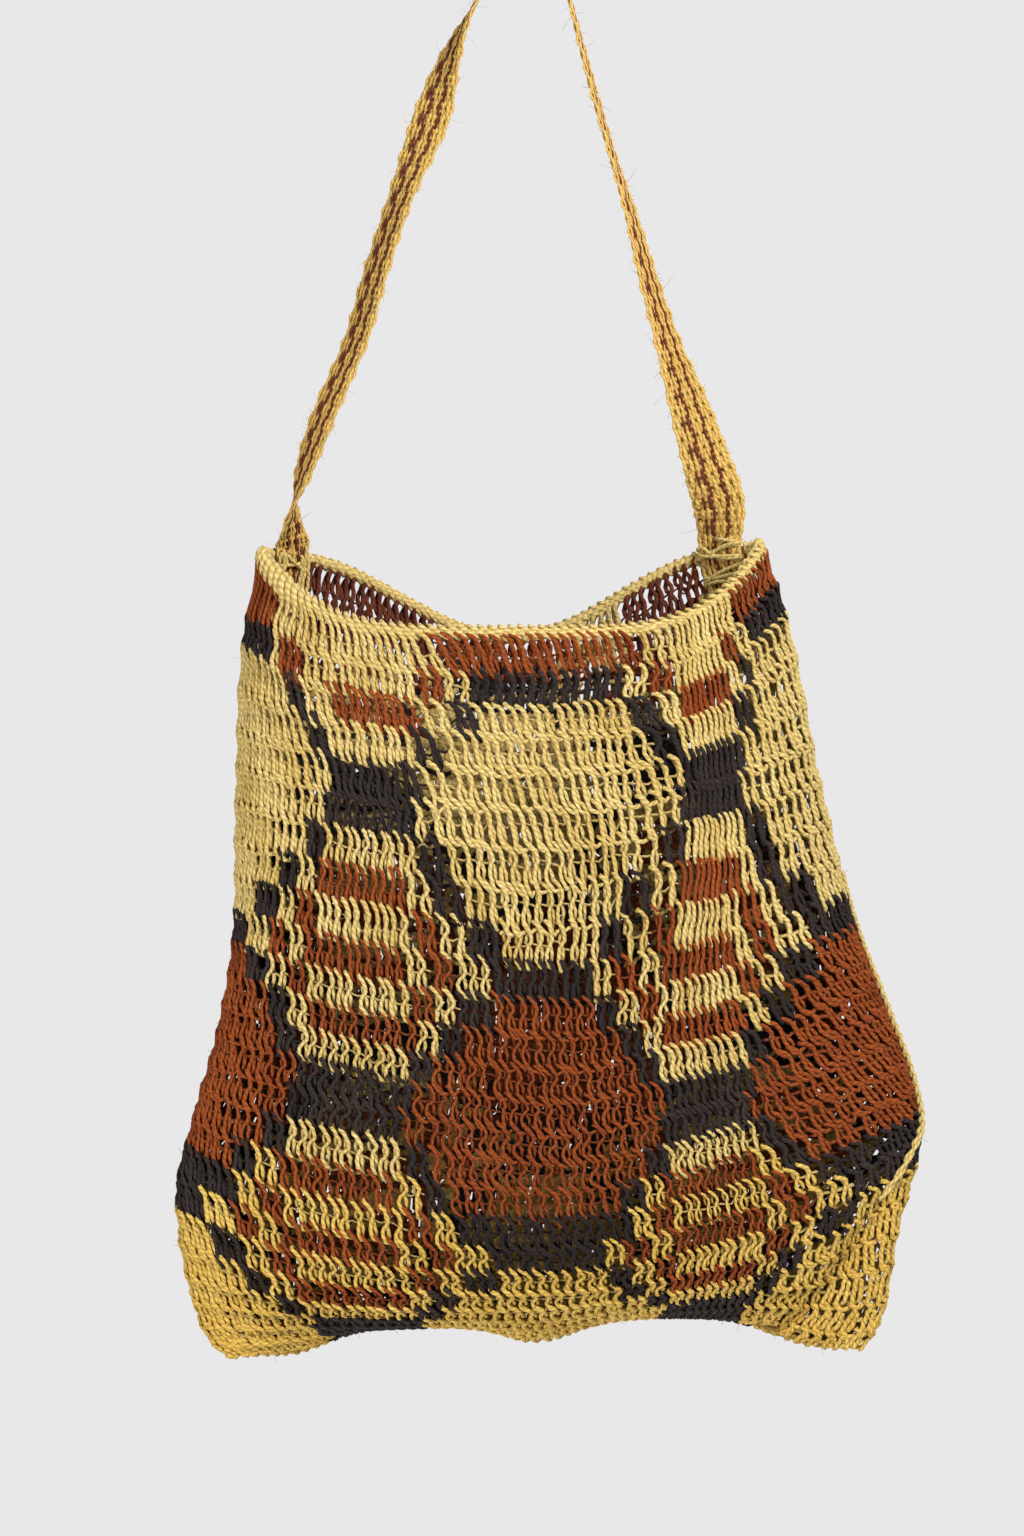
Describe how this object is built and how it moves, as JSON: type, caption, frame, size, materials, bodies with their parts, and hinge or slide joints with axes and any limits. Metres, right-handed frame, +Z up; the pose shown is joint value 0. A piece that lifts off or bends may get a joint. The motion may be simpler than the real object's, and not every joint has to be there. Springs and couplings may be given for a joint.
{
  "type": "string bag",
  "caption": "Looped string bag with a patterned body, an edging cord round its open mouth and one flat woven shoulder strap, hanging from the strap's top.",
  "frame": {"origin": "the point that holds the bag up, at the underside of the strap's top", "axes": "+Z up along the hanging bag, +X to the right across its width, -Y out of its front"},
  "size_m": [0.3725, 0.1102, 0.734],
  "materials": {
    "bag_yarn": "two-ply plant-fibre yarn, matt, in straw, rust brown and charcoal",
    "edging_yarn": "thick straw-coloured plant-fibre cord, matt",
    "strap_weave": "flat interlaced plant-fibre band, golden straw with thin brown lines"
  },
  "bodies": {
    "root": {"bag_body": "bag_yarn", "rim_edging": "edging_yarn", "strap": "strap_weave"}
  },
  "joints": []
}
